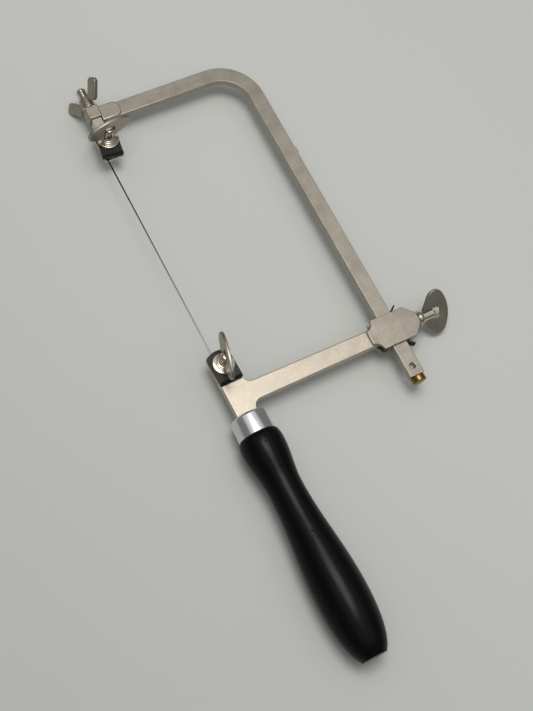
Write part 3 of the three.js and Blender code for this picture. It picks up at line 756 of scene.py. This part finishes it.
@dataclass
class Head:
    """The forked block on the top arm, the jaw that slides in it, the washer and the wing nut."""

    rod_x: float = 4.1
    half_width: float = 3.3
    block_low: float = 131.5
    block_high: float = 138.6
    block_half: float = 3.5
    hole_half: float = 2.6
    fork_low: float = 128.9
    fork_high: float = 137.0
    fork_end: float = 17.2
    fork_half: float = 3.2
    fork_round: float = 3.0
    slot_half: float = 2.2
    edge: float = 0.5
    jaw_low: float = 109.4
    jaw_seat: float = 126.35
    jaw_high: float = 126.7
    jaw_half_width: float = 5.2
    jaw_half: float = 2.1
    jaw_corner: float = 1.2
    seat_z: float = -0.23
    blade_side: float = 0.8
    screw_y: float = 118.25
    screw_hole: float = 1.6
    shank_half: float = 2.5
    shank_high: float = 135.7
    rod: float = 2.5
    rod_tip: float = 150.1
    rod_dome: float = 1.3
    washer_low: float = 138.7
    washer_high: float = 139.6
    washer_outer: float = 3.5
    bore: float = 2.6
    nut_y: float = 139.7
    nut_high: float = 4.8
    nut_foot: float = 3.5
    nut_top: float = 3.0
    nut_turn: float = -62.0
    ear_root: tuple[float, float] = (4.4, 1.0)
    ear_end: tuple[float, float] = (11.9, 8.9)
    ear_width: float = 5.6
    ear_corner: float = 2.0
    ear_half: float = 1.15
    ear_edge: float = 0.55
    jaw_edge: float = 0.35
    shank_edge: float = 0.25
    rod_inside: float = 0.8
    pitch: float = 0.7
    thread_depth: float = 0.36
    thread_start: float = 0.9
    thread_stop: float = 0.2
    row_start: float = 0.3
    row_stop: float = 0.05
    row_gap: float = 0.1
    bore_edge: float = 0.12
    washer_edge: float = 0.2
    hub_foot_edge: float = 0.2
    hub_edge: float = 0.35

    def block(self) -> bpy.types.Mesh:
        """Joins the block and its fork, and cuts the arm's slot and the shank's hole."""
        x0, x1 = self.rod_x - self.half_width, self.rod_x + self.half_width
        body = box((x0, self.block_low, -self.block_half), (x1, self.block_high, self.block_half), self.edge)
        fork_start = self.rod_x + self.hole_half
        fork = slab(rounded([
            (fork_start, self.fork_low, 0), (self.fork_end, self.fork_low, self.fork_round),
            (self.fork_end, self.fork_high, self.fork_round), (fork_start, self.fork_high, 0),
        ], 12), -self.fork_half, self.fork_half, self.edge)
        slot = box(
            (x1, self.fork_low - 3 * PAST, -self.slot_half),
            (self.fork_end + 2 * PAST, self.fork_high + 3 * PAST, self.slot_half),
        )
        hole = box(
            (self.rod_x - self.hole_half, self.fork_low - PAST, -self.hole_half),
            (self.rod_x + self.hole_half, self.block_high + PAST, self.hole_half),
        )
        return carved("forked_head", body, (Join.ADD, fork), (Join.TAKE, slot), (Join.TAKE, hole))

    def jaw(self) -> bpy.types.Mesh:
        """Cuts the plate's seat and the screw's hole in the jaw, and adds the square shank."""
        x0, x1 = self.rod_x - self.jaw_half_width, self.rod_x + self.jaw_half_width
        corner = self.jaw_corner
        plate = slab(rounded([
            (x0, self.jaw_low, corner), (x1, self.jaw_low, corner),
            (x1, self.jaw_high, corner), (x0, self.jaw_high, corner),
        ]), -self.jaw_half, self.jaw_half, self.jaw_edge)
        low, high = (x0 - PAST, self.jaw_low - PAST, self.seat_z), self.jaw_half + PAST
        seat = box(low, (x1 + PAST, self.jaw_seat, high))
        passage = box(low, (self.blade_side, self.jaw_high + PAST, high))
        hole = bar(self.screw_hole, -HOLE_REACH, HOLE_REACH)
        hole = hole.placed(shift(self.rod_x, self.screw_y, 0, UPRIGHT))
        shank = box(
            (self.rod_x - self.shank_half, self.jaw_seat, -self.shank_half),
            (self.rod_x + self.shank_half, self.shank_high, self.shank_half), self.shank_edge,
        )
        cuts = [(Join.TAKE, tool) for tool in (seat, passage, hole)]
        return carved("upper_jaw", plate, *cuts, (Join.ADD, shank))

    def threaded_rod(self) -> Skin:
        """Spins the rod with its thread and domed tip."""
        low, dome_low = self.shank_high - self.rod_inside, self.rod_tip - self.rod_dome
        profile = rounded([
            (0, low, 0), (self.rod, low, 0), (self.rod, self.rod_tip, self.rod_dome), (0, self.rod_tip, 0),
        ], 10)
        thread = Thread(low + self.thread_start, dome_low - self.thread_stop, self.pitch, self.thread_depth)
        profile = with_rows(profile, low + self.row_start, dome_low - self.row_stop, self.row_gap)
        return lathe(profile, THREAD_SIDES, thread).placed(shift(self.rod_x, 0, 0))

    def washer(self) -> Skin:
        """Spins the washer's ring."""
        low, high, outer = self.washer_low, self.washer_high, self.washer_outer
        ring = rounded([
            (self.bore, low, self.bore_edge), (outer, low, self.washer_edge),
            (outer, high, self.washer_edge), (self.bore, high, self.bore_edge),
        ])
        return lathe(ring, ring=True).placed(shift(self.rod_x, 0, 0))

    def ear(self) -> Array:
        """Draws one ear, a tablet with rounded corners that leans out from the hub."""
        root, end = np.array(self.ear_root), np.array(self.ear_end)
        way = unit((end - root)[None])[0]
        side = np.array([-way[1], way[0]]) * self.ear_width / 2
        turn = self.ear_corner
        corners = ((root + side, 0), (root - side, turn), (end - side, turn), (end + side, turn))
        return rounded([(*at, radius) for at, radius in corners], 12)

    def nut(self) -> bpy.types.Mesh:
        """Joins the hub and both ears, cuts the bore and turns the nut to its place."""
        foot, top, high = self.nut_foot, self.nut_top, self.nut_high
        hub = lathe(rounded([
            (0, 0, 0), (foot, 0, self.hub_foot_edge), (top, high, self.hub_edge), (0, high, 0),
        ]))
        ear = slab(self.ear(), -self.ear_half, self.ear_half, self.ear_edge)
        other = ear.placed(shift(0, 0, 0, (Turn.Y, 180)))
        bore = bar(self.bore, -PAST, self.nut_high + PAST)
        made = carved("winged_nut", hub, (Join.ADD, ear), (Join.ADD, other), (Join.TAKE, bore))
        made.transform(shift(self.rod_x, self.nut_y, 0, (Turn.Y, self.nut_turn)))
        return made

    def build(self, shop: Workshop) -> None:
        """Shows the block, the jaw with its rod, the washer and the nut."""
        shop.show("forked_head", self.block(), SATIN_NICKEL, "bow", "head_block")
        shop.show("upper_jaw", self.jaw(), BRIGHT_NICKEL, "tension_slide", "tension_jaw")
        shop.show("threaded_rod", self.threaded_rod(), BRIGHT_NICKEL, "tension_slide")
        shop.show("nut_washer", self.washer(), BRIGHT_NICKEL, "bow", "tension_washer")
        shop.show("winged_nut", self.nut(), SATIN_NICKEL, "tension_nut", "wing_nut")


@dataclass
class ClampPlate:
    """A loose black plate with one round end and one bevelled end, about its screw's axis."""

    half_width: float
    short: float = 7.3
    long: float = 8.7
    thickness: float = 2.6
    bevel: float = 1.3
    corner: float = 0.9
    crown: float = 10.5
    rise: float = 2.4
    bevel_corner: float = 0.5
    bevel_turn: float = 135.0
    edge: float = 0.25
    hole: float = 1.7

    def mesh(self, name: str) -> bpy.types.Mesh:
        """Cuts the bevel and the hole in the plate.

        Args:
            name: the mesh's name.

        Returns:
            The plate, lying on z = 0 with its bevelled end toward -Y.
        """
        half, small = self.half_width, self.bevel_corner
        apex = self.short + self.crown * (math.hypot(self.rise, half) / half - 1)
        plate = slab(rounded([
            (-half, -self.long, small), (half, -self.long, small), (half, apex - self.rise, self.corner),
            (0, apex, self.crown), (-half, apex - self.rise, self.corner),
        ], 12), 0, self.thickness, self.edge)
        wedge = box((-2 * half, 0, 0), (2 * half, self.long, self.long))
        wedge = wedge.placed(shift(0, self.bevel - self.long, self.thickness, (Turn.X, self.bevel_turn)))
        hole = bar(self.hole, -PAST, self.thickness + PAST).placed(shift(0, 0, 0, UPRIGHT))
        return carved(name, plate, (Join.TAKE, wedge), (Join.TAKE, hole))


@dataclass
class ThumbScrew:
    """A screw with a flange and a domed shaft, and the wing that straddles the shaft."""

    thread: float
    pitch: float
    reach: float
    flange: float
    wing_length: float
    wing_height: float
    flange_thickness: float = 1.2
    ease: float = 0.3
    boss: float = 3.6
    boss_top: float = 2.7
    shaft: float = 2.5
    tip: float = 9.8
    dome: float = 1.25
    wing_half: float = 0.75
    wing_edge: float = 0.36
    wing_crown: float = 20.7
    wing_tip: float = 4.6
    wing_foot: float = 0.9
    stand_off: float = 0.4
    notch_half: float = 2.7
    notch_beyond: float = 2.9
    notch_round: float = 2.565
    end_ease: float = 0.25
    neck: float = 0.05
    step: float = 0.08
    boss_taper: float = 0.1
    boss_ease: float = 0.25
    collar_foot: float = 0.55
    collar_top: float = 0.45
    collar_ease: float = 0.2
    dome_foot: float = 0.4
    dome_share: float = 0.62
    dome_drop: float = 0.22
    dome_round: float = 0.9
    thread_start: float = 0.2
    thread_stop: float = 0.1
    depth_share: float = 0.51
    row_start: float = 0.35
    row_stop: float = 0.12
    rows_a_turn: int = 7

    def screw(self) -> Skin:
        """Spins the thread, flange, ringed boss, shaft and dome."""
        radius, rim, top = self.thread / 2, self.flange / 2, self.flange_thickness
        mid = (top + self.boss_top) / 2
        profile = rounded([
            (0, -self.reach, 0), (radius, -self.reach, self.end_ease), (radius, 0, self.neck),
            (rim, 0, self.ease), (rim, top, self.ease), (self.boss, top, self.step),
            (self.boss - self.boss_taper, mid, self.boss_ease),
            (self.shaft + self.collar_foot, mid, self.step),
            (self.shaft + self.collar_top, self.boss_top, self.collar_ease),
            (self.shaft, self.boss_top, self.step), (self.shaft, self.tip - self.dome, self.dome_foot),
            (self.shaft * self.dome_share, self.tip - self.dome_drop, self.dome_round), (0, self.tip, 0),
        ], 6)
        depth = self.depth_share * self.pitch
        thread = Thread(self.thread_start - self.reach, -self.thread_stop, self.pitch, depth)
        gap = self.pitch / self.rows_a_turn
        profile = with_rows(profile, self.row_start - self.reach, -self.row_stop, gap)
        return lathe(profile, THREAD_SIDES, thread)

    def wing(self) -> Skin:
        """Draws the wing's shoulders, round tips, crown and notch, and gives it its thickness."""
        base = self.boss_top + self.stand_off
        crown_y = base + self.wing_height - self.wing_crown
        tip_x = self.wing_length / 2 - self.wing_tip
        tip_y = crown_y + math.sqrt((self.wing_crown - self.wing_tip) ** 2 - tip_x ** 2)
        foot = self.notch_half + self.wing_foot
        away = math.hypot(tip_x - foot, tip_y - base)
        slope = math.atan2(tip_y - base, tip_x - foot) - math.asin(self.wing_tip / away)
        turn = math.atan2(tip_y - crown_y, tip_x)
        right = np.concatenate([
            [[foot, base]], arc(tip_x, tip_y, self.wing_tip, slope - QUARTER, turn, 24)[:-1],
            arc(0, crown_y, self.wing_crown, turn, QUARTER, 24),
        ])
        left = right[-2::-1] * (-1, 1)
        end = self.tip + self.notch_beyond
        notch = rounded([
            (-self.notch_half, base, 0), (-self.notch_half, end, self.notch_round),
            (self.notch_half, end, self.notch_round), (self.notch_half, base, 0),
        ], 14)
        outline = np.concatenate([right, left, notch])
        return slab(outline, -self.wing_half, self.wing_half, self.wing_edge, steps=5)

    def build(self, shop: Workshop, name: str, body: str, place: Matrix) -> None:
        """Shows the screw and its wing.

        Args:
            shop: where they are put.
            name: the start of the pieces' and the nodes' names.
            body: the body that they ride on.
            place: where the flange's seat is, with Z along the screw.
        """
        standing = place @ shift(0, 0, 0, UPRIGHT)
        shop.show(f"{name}_stud", self.screw().placed(standing), BRIGHT_NICKEL, body, f"{name}_screw")
        shop.show(f"{name}_thumb_plate", self.wing().placed(standing), SATIN_NICKEL, body, f"{name}_wing")


@dataclass
class BladeClamps:
    """Both blade clamps: a plate and a thumb screw on each jaw."""

    plate_z: float = 0.23
    seat_z: float = 2.88
    lower: tuple[float, float] = (2.3, -8.1)
    upper: tuple[float, float] = (4.1, 118.25)
    lower_plate_turn: float = 2.0
    upper_plate_turn: float = -8.0
    lower_wing_turn: float = 77.0
    upper_wing_turn: float = 7.0
    lower_half_width: float = 5.7
    upper_half_width: float = 5.2

    def build(self, shop: Workshop) -> None:
        """Shows both plates and both thumb screws."""
        screw = ThumbScrew(3.0, 0.5, 4.63, 10.4, 23.0, 13.6)
        ends = (
            ("lower", self.lower, self.lower_half_width, self.lower_plate_turn, self.lower_wing_turn),
            ("upper", self.upper, self.upper_half_width, self.upper_plate_turn, self.upper_wing_turn),
        )
        for end, (x, y), half_width, plate_turn, wing_turn in ends:
            plate = ClampPlate(half_width).mesh(f"{end}_black_plate")
            plate.transform(shift(x, y, self.plate_z, (Turn.Z, plate_turn)))
            shop.show(f"{end}_black_plate", plate, BLACK_STEEL, f"{end}_clamp", f"{end}_clamp_plate")
            place = shift(x, y, self.seat_z, (Turn.Z, wing_turn))
            screw.build(shop, f"{end}_clamp", f"{end}_thumb_screw", place)


@dataclass
class LowerArm:
    """The arm with the lower jaw, the stem and the tang, in one piece."""

    left: float = -3.4
    right: float = 8.0
    stem_right: float = 7.1
    stem_low: float = -33.9
    stem_corner: float = 0.8
    centre_y: float = -24.7
    half_at_stem: float = 4.7
    half_at_block: float = 4.25
    end_x: float = 77.55
    fillet: float = 3.8
    jaw_y: float = -1.0
    jaw_corner: float = 2.4
    tang_x: float = 1.4
    tang_half: float = 3.2
    tang_tip_half: float = 1.5
    tang_end: float = -91.9
    half_thickness: float = 2.0
    edge: float = 0.45
    seat_y: float = -17.6
    seat_z: float = -0.23
    screw: tuple[float, float] = (2.3, -8.1)
    screw_hole: float = 1.6
    tang_foot: float = 0.2
    tang_corner: float = 0.7
    stem_right_corner: float = 0.62

    def mesh(self) -> bpy.types.Mesh:
        """Draws the arm's outline, and cuts the plate's seat and the screw's hole."""
        y, middle, foot, tip = self.centre_y, self.tang_x, self.tang_foot, self.tang_corner
        outline = rounded([
            (self.left, self.jaw_y, self.jaw_corner), (self.left, self.stem_low, self.stem_corner),
            (middle - self.tang_half, self.stem_low, foot), (middle - self.tang_tip_half, self.tang_end, tip),
            (middle + self.tang_tip_half, self.tang_end, tip), (middle + self.tang_half, self.stem_low, foot),
            (self.stem_right, self.stem_low, self.stem_right_corner),
            (self.stem_right, y - self.half_at_stem, self.fillet),
            (self.end_x, y - self.half_at_block, 0), (self.end_x, y + self.half_at_block, 0),
            (self.right, y + self.half_at_stem, self.fillet), (self.right, self.jaw_y, self.jaw_corner),
        ], 12)
        arm = slab(outline, -self.half_thickness, self.half_thickness, self.edge)
        seat_high = (self.right + PAST, PAST, self.half_thickness + PAST)
        seat = box((self.left - PAST, self.seat_y, self.seat_z), seat_high)
        hole = bar(self.screw_hole, -HOLE_REACH, HOLE_REACH).placed(shift(*self.screw, 0, UPRIGHT))
        return carved("forged_arm", arm, (Join.TAKE, seat), (Join.TAKE, hole))

    def build(self, shop: Workshop) -> None:
        """Shows the arm."""
        # The arm's paler nickel is painted light, a lit copy of the satin nickel.
        shop.show("forged_arm", self.mesh(), PAINTED_LIT_NICKEL, "handle_frame", "lower_arm")


@dataclass
class SlideLock:
    """The scalloped block that the spine slides in, its spring strip and its thumb screw."""

    centre_y: float = -24.7
    half_height: float = 7.75
    nose: float = 71.2
    end: float = 98.05
    scallop: float = 4.2
    chamfer: float = 5.1
    chamfer_round: float = 2.0
    half_thickness: float = 3.8
    edge: float = 0.3
    spine_slot: tuple[float, float] = (79.85, 89.85)
    spine_slot_half: float = 2.15
    arm_slot_end: float = 77.75
    arm_slot_half: float = 2.2
    screw_hole: float = 2.6
    strip_x: float = 87.65
    strip_thickness: float = 0.8
    strip_half_width: float = 1.8
    strip_straight: float = 8.33
    strip_lip: float = 4.1
    strip_bend: float = 51.0
    strip_inner_bend: float = 0.4
    strip_outer_bend: float = 1.2
    strip_tip: float = 0.2
    strip_edge: float = 0.12
    screw_x: float = 98.65
    wing_turn: float = -40.3

    def block(self) -> bpy.types.Mesh:
        """Draws the scalloped outline, and cuts the slots for the spine and the arm and the screw's hole."""
        low, high = self.centre_y - self.half_height, self.centre_y + self.half_height
        shoulder = self.end - self.chamfer
        outline = rounded([
            (self.nose, high, -self.scallop), (self.nose, low, -self.scallop),
            (shoulder, low, self.chamfer_round), (self.end, low + self.chamfer, self.chamfer_round),
            (self.end, high - self.chamfer, self.chamfer_round), (shoulder, high, self.chamfer_round),
        ], 10)
        body = slab(outline, -self.half_thickness, self.half_thickness, self.edge)
        x0, x1 = self.spine_slot
        under, above = low - 3 * PAST, high + 3 * PAST
        spine = box((x0, under, -self.spine_slot_half), (x1, above, self.spine_slot_half))
        arm_low = (self.nose - 3 * PAST, under, -self.arm_slot_half)
        arm = box(arm_low, (self.arm_slot_end, above, self.arm_slot_half))
        hole = bar(self.screw_hole, -self.end - 2 * PAST, -self.strip_x)
        hole = hole.placed(shift(0, self.centre_y, 0, (Turn.Z, 90)))
        return carved("scalloped_block", body, (Join.TAKE, spine), (Join.TAKE, arm), (Join.TAKE, hole))

    def strip(self) -> Skin:
        """Draws the strip's bent line, straight beside the spine with a lip at each end, and widens it."""
        bend = math.radians(self.strip_bend)
        along = self.strip_lip * np.array([math.sin(bend), math.cos(bend)])
        through = self.strip_thickness * np.array([math.cos(bend), -math.sin(bend)])
        knee = np.array([self.strip_x, self.strip_straight])
        tip = knee + along
        thick, ease = self.strip_thickness, self.strip_tip
        inner = (self.strip_x + thick, self.strip_straight - thick * math.tan(bend / 2))
        half = [
            (*inner, self.strip_inner_bend), (*(tip + through), ease),
            (*tip, ease), (*knee, self.strip_outer_bend),
        ]
        mirrored = [(x, -y, r) for x, y, r in reversed(half)]
        corners = [(x, self.centre_y + y, r) for x, y, r in half + mirrored]
        return slab(rounded(corners, 8), -self.strip_half_width, self.strip_half_width, self.strip_edge)

    def build(self, shop: Workshop) -> None:
        """Shows the block, the strip and the thumb screw."""
        shop.show("scalloped_block", self.block(), SATIN_NICKEL, "handle_frame", "slide_block")
        shop.show("spring_strip", self.strip(), BLACK_STEEL, "pressure", "pressure_strip")
        screw = ThumbScrew(5.0, 0.8, 10.1, 7.0, 24.0, 13.9)
        place = shift(self.screw_x, self.centre_y, 0, (Turn.X, self.wing_turn), (Turn.Y, 90))
        screw.build(shop, "slide", "slide_thumb_screw", place)


@dataclass
class Handle:
    """The turned handle and its ferrule, about an axis along Y."""

    axis_x: float = 1.4
    ferrule_high: float = -34.1
    ferrule_low: float = -44.6
    ferrule_top: float = 8.45
    ferrule_radius: float = 9.1
    ferrule_wall: float = 1.1
    ferrule_round: float = 1.5
    mouth: float = 3.97
    wood_high: float = -44.8
    length: float = 109.6
    shoulder: float = 10.5
    waist: float = 8.3
    belly: float = 12.0
    butt: float = 5.9
    shoulder_at: float = 5.5
    waist_at: float = 27.0
    belly_at: float = 79.0
    fullness: float = 2.4
    butt_edge: float = 0.5
    tenon_gap: float = 0.5
    tenon_taper: float = 0.8
    tenon_start: float = 1.0
    tenon_end: float = 3.0
    inner_foot: float = 0.1
    outer_foot: float = 0.25
    mouth_edge: float = 0.2
    inner_round: float = 0.8
    rows: int = 220
    wood_sides: int = 160
    ferrule_sides: int = 128

    def radius(self, distance: Array) -> Array:
        """Gives the wood's radius at distances below the ferrule.

        The shoulder rises as a quarter ellipse, half cosine waves join the shoulder, waist and belly, and
        the butt is belly * (1 - share ** fullness) ** (1 / fullness).

        Args:
            distance: distances below the ferrule.

        Returns:
            The radius at each.
        """
        def ease(low: float, high: float, share: Array) -> Array:
            """Returns a half cosine wave from low to high."""
            return low + (high - low) * (1 - np.cos(np.pi * share)) / 2

        rise = np.sqrt(np.clip(1 - (1 - distance / self.shoulder_at) ** 2, 0, None))
        top = self.ferrule_radius + (self.shoulder - self.ferrule_radius) * rise
        down_neck = (distance - self.shoulder_at) / (self.waist_at - self.shoulder_at)
        down_swell = (distance - self.waist_at) / (self.belly_at - self.waist_at)
        neck = ease(self.shoulder, self.waist, down_neck)
        swell = ease(self.waist, self.belly, down_swell)
        end_share = (1 - (self.butt / self.belly) ** self.fullness) ** (1 / self.fullness)
        share = np.clip(end_share * (distance - self.belly_at) / (self.length - self.belly_at), 0, 1)
        fall = self.belly * (1 - share ** self.fullness) ** (1 / self.fullness)
        places = [distance < self.shoulder_at, distance < self.waist_at, distance < self.belly_at]
        return np.select(places, [top, neck, swell], fall)

    def wood(self) -> Skin:
        """Spins the handle's long curve, with its flat butt and its tenon in the ferrule."""
        near = self.shoulder_at * (1 - np.cos(np.linspace(0, QUARTER, 24)))
        far = np.linspace(self.shoulder_at, self.length - self.butt_edge, self.rows)[1:]
        distance = np.concatenate([near, far])
        side = np.stack([self.radius(distance), self.wood_high - distance], 1)[::-1]
        low = self.wood_high - self.length
        t = np.linspace(0, QUARTER, 7)[:-1]
        edge = self.butt_edge
        foot = side[0, 0] - edge + edge * np.sin(t)
        butt = np.stack([foot, low + edge * (1 - np.cos(t))], 1)
        tenon = self.ferrule_radius - self.ferrule_wall - self.tenon_gap
        tenon_high = self.ferrule_high - self.tenon_end
        top = [
            [tenon, self.wood_high], [tenon, self.ferrule_low + self.tenon_start],
            [tenon - self.tenon_taper, tenon_high], [0, tenon_high],
        ]
        profile = np.concatenate([[[0, low]], butt, side, top])
        return lathe(profile, self.wood_sides).placed(shift(self.axis_x, 0, 0))

    def ferrule(self) -> Skin:
        """Spins the ferrule's wall, with its rounded top and the mouth for the tang."""
        low, high, wall = self.ferrule_low, self.ferrule_high, self.ferrule_wall
        ring = rounded([
            (self.ferrule_radius - wall, low, self.inner_foot), (self.ferrule_radius, low, self.outer_foot),
            (self.ferrule_top, high, self.ferrule_round), (self.mouth, high, self.mouth_edge),
            (self.mouth, high - wall, self.mouth_edge),
            (self.ferrule_top - wall, high - wall, self.inner_round),
        ], 10)
        return lathe(ring, self.ferrule_sides, ring=True).placed(shift(self.axis_x, 0, 0))

    def build(self, shop: Workshop) -> None:
        """Shows the wood and the ferrule."""
        shop.show("turned_handle", self.wood(), LACQUER, "handle_frame", "handle")
        shop.show("spun_ferrule", self.ferrule(), ALUMINIUM, "handle_frame", "ferrule")


@dataclass
class SawBlade:
    """The toothed blade between the jaws, its teeth pointing to the handle."""

    low: float = -BLADE_GRIP
    length: float = 130.0
    half_width: float = 0.4
    half_thickness: float = 0.19
    plain_end: float = 14.0
    pitch: float = 0.8
    depth: float = 0.24

    def skin(self) -> Skin:
        """Draws the back and the teeth, each sloping out toward the handle and dropping straight back."""
        half, high = self.half_width, self.low + self.length
        count = int((self.length - 2 * self.plain_end) / self.pitch)
        top = self.low + (self.length - count * self.pitch) / 2 + self.pitch * np.arange(count, 0, -1)
        roots = np.stack([np.full(count, self.depth - half), top], 1)
        tips = np.stack([np.full(count, -half), top - self.pitch], 1)
        teeth = np.stack([roots, tips], 1).reshape(-1, 2)
        back = [[-half, self.low], [half, self.low], [half, high], [-half, high]]
        return slab(np.concatenate([back, teeth]), -self.half_thickness, self.half_thickness, 0.0)

    def build(self, shop: Workshop) -> None:
        """Shows the blade. An open fault: tessellate_polygon covers less than half of each of its faces."""
        shop.show("toothed_blade", self.skin(), BLADE_STEEL, "handle_frame", "saw_blade")


@dataclass
class Studio:
    """The floor, the lights and the camera, in metres in the row frame unless a field says otherwise."""

    floor_colour: Colour = (0.585, 0.595, 0.57)
    # painted shade: the share of the floor's colour left in its darkest corner
    floor_painted_shade: float = 0.8
    floor_half: float = 3.0
    shade_across: float = 0.955
    shade_along: float = 0.296
    shade_from: float = -0.32
    shade_to: float = 0.1
    mottle: float = 0.1
    mottle_scale: float = 9.0
    floor_roughness: float = 0.75
    camera_place: Triple = (-172.155, -181.85, 575.07)  # millimetres in the saw's own frame
    camera_right: Triple = (0.8735, -0.4595, 0.161)
    camera_up: Triple = (0.3754, 0.8462, 0.3783)
    camera_back: Triple = (-0.3101, -0.27, 0.9116)
    camera_near: float = 0.01
    lens: float = 69.28
    sensor: float = 36.0
    key_place: Triple = (-0.05, 0.10, 1.3)
    key_size: float = 0.56
    key_watts: float = 8.0
    key_colour: Colour = (1.0, 0.98, 0.95)
    ceiling_place: Triple = (0.0, 0.0, 2.2)
    ceiling_size: float = 4.0
    ceiling_watts: float = 25.0
    world: Colour = (0.19, 0.195, 0.195)

    def camera(self) -> None:
        """Sets the camera at the photograph's angle."""
        data = bpy.data.cameras.new("view")
        data.lens, data.sensor_width, data.clip_start = self.lens, self.sensor, self.camera_near
        camera = bpy.data.objects.new("view", data)
        turn = Matrix((self.camera_right, self.camera_up, self.camera_back)).transposed()
        place = saw_origin() + Vector(self.camera_place) * MILLIMETRE
        camera.matrix_world = Matrix.Translation(place) @ turn.to_quaternion().to_matrix().to_4x4()
        bpy.context.scene.collection.objects.link(camera)
        bpy.context.scene.camera = camera

    def floor(self) -> None:
        """Lays the pale floor: a faintly mottled matt sheet, with painted shade that darkens it to one
        corner.
        """
        side = np.linspace(-self.floor_half, self.floor_half, 3)
        x, y = np.meshgrid(side, side)
        points = np.stack([x.ravel(), y.ravel(), np.zeros(x.size)], 1)
        index = np.arange(x.size).reshape(x.shape)
        quads = np.stack([index[:-1, :-1], index[:-1, 1:], index[1:, 1:], index[1:, :-1]], -1).reshape(-1, 4)
        mesh = Skin(points, quads, np.empty((0, 3), int)).mesh("floor")
        material = bpy.data.materials.new("pale_floor")
        material.use_nodes = True
        shader = Shader(material.node_tree)
        across = shader.node("ShaderNodeSeparateXYZ", {}, {0: shader.place((self.shade_across, 1, 1))}, 0)
        along = shader.node("ShaderNodeSeparateXYZ", {}, {0: shader.place((1, self.shade_along, 1))}, 1)
        # Painted shade: the light's fall-off toward one corner, painted into the floor's colour.
        fall = (across + along).over(self.shade_from, self.shade_to) * (1 - self.mottle)
        share = fall + shader.noise(self.mottle_scale, 3) * self.mottle
        painted_shade_tone = tuple(self.floor_painted_shade * c for c in self.floor_colour)
        tone = shader.blend(share, painted_shade_tone, self.floor_colour)
        shader.surface({"Base Color": tone, "Roughness": self.floor_roughness})
        mesh.materials.append(material)
        floor = bpy.data.objects.new("floor", mesh)
        bpy.context.scene.collection.objects.link(floor)

    def lamp(self, name: str, place: Triple, size: float, watts: float, colour: Colour = (1, 1, 1)) -> None:
        """Hangs a softbox that faces the middle of the saw.

        Args:
            name: its name.
            place: where it hangs.
            size: its width, and its height.
            watts: its power.
            colour: its tint.
        """
        data = bpy.data.lights.new(name, "AREA")
        data.shape, data.size, data.size_y = "RECTANGLE", size, size
        data.energy, data.color = watts, colour
        lamp = bpy.data.objects.new(name, data)
        lamp.location = place
        lamp.rotation_euler = (-Vector(place)).to_track_quat("-Z", "Y").to_euler()
        bpy.context.scene.collection.objects.link(lamp)

    def lights(self) -> None:
        """Hangs the key light and the ceiling light, and sets the world."""
        self.lamp("key", self.key_place, self.key_size, self.key_watts, self.key_colour)
        self.lamp("ceiling", self.ceiling_place, self.ceiling_size, self.ceiling_watts)
        world = bpy.context.scene.world or bpy.data.worlds.new("studio")
        bpy.context.scene.world = world
        world.use_nodes = True
        shader = Shader(world.node_tree)
        light = shader.node("ShaderNodeBackground", {}, {"Color": (*self.world, 1.0), "Strength": 1.0})
        shader.node_out("ShaderNodeOutputWorld", light)

    def build(self) -> None:
        """Sets the whole studio."""
        bpy.context.scene.view_settings.view_transform = "Standard"
        self.camera()
        self.floor()
        self.lights()


def main() -> None:
    """Builds the studio and each part of the saw in order."""
    logging.basicConfig(level=logging.INFO, format="%(name)s: %(message)s")
    shop = Workshop()
    Studio().build()
    for part in (Bow(), Head(), BladeClamps(), LowerArm(), SlideLock(), Handle(), SawBlade()):
        part.build(shop)


if __name__ == "__main__":
    main()
